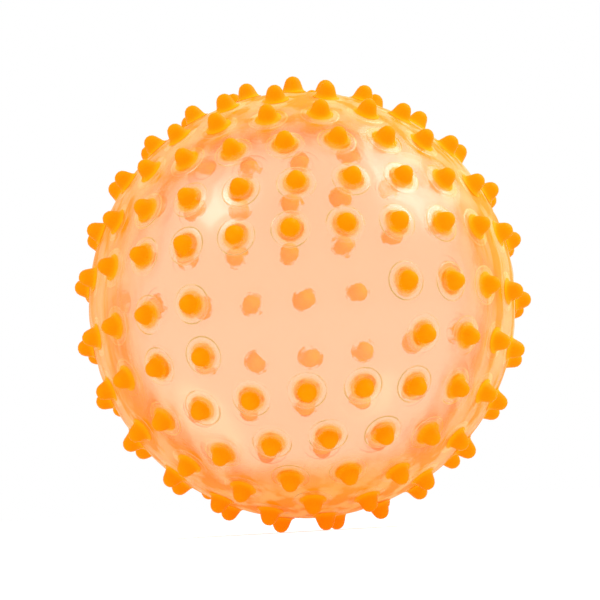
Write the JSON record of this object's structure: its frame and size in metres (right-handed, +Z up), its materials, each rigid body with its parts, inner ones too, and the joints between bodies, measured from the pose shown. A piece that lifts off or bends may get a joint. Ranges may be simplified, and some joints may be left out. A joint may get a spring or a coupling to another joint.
{
  "type": "sensory ball",
  "caption": "Inflated soft-vinyl sensory ball: a hollow see-through peach skin, orange bell-shaped nubs in rings of latitude, a bare front patch and a pull-out plug valve at the top.",
  "frame": {"origin": "the middle of the ball", "axes": "+Z up as the ball stands on a floor, -Y to the front, where the bare patch is; the ball's pole axis leans back from +Z by about 9 degrees"},
  "size_m": [0.1989, 0.1943, 0.1986],
  "materials": {
    "clear_vinyl": "glossy see-through peach vinyl",
    "orange_vinyl": "satin orange vinyl",
    "plug_vinyl": "satin milky vinyl"
  },
  "bodies": {
    "ball": {"skin": "clear_vinyl", "nub_row_1": "orange_vinyl", "nub_row_2": "orange_vinyl", "nub_row_3": "orange_vinyl", "nub_row_4": "orange_vinyl", "nub_row_5": "orange_vinyl", "nub_row_6": "orange_vinyl", "nub_row_7": "orange_vinyl", "nub_row_8": "orange_vinyl", "nub_row_9": "orange_vinyl", "nub_row_10": "orange_vinyl", "nub_row_11": "orange_vinyl", "nub_row_12": "orange_vinyl", "pole_nub": "orange_vinyl", "valve_seat": "clear_vinyl"},
    "plug": {"valve_plug": "plug_vinyl"}
  },
  "joints": [
    {"name": "plug_pull", "type": "slide", "parent": "ball", "child": "plug", "axis": [-0.0493, 0.1472, 0.9879], "range_m": [0, 0.017]}
  ]
}
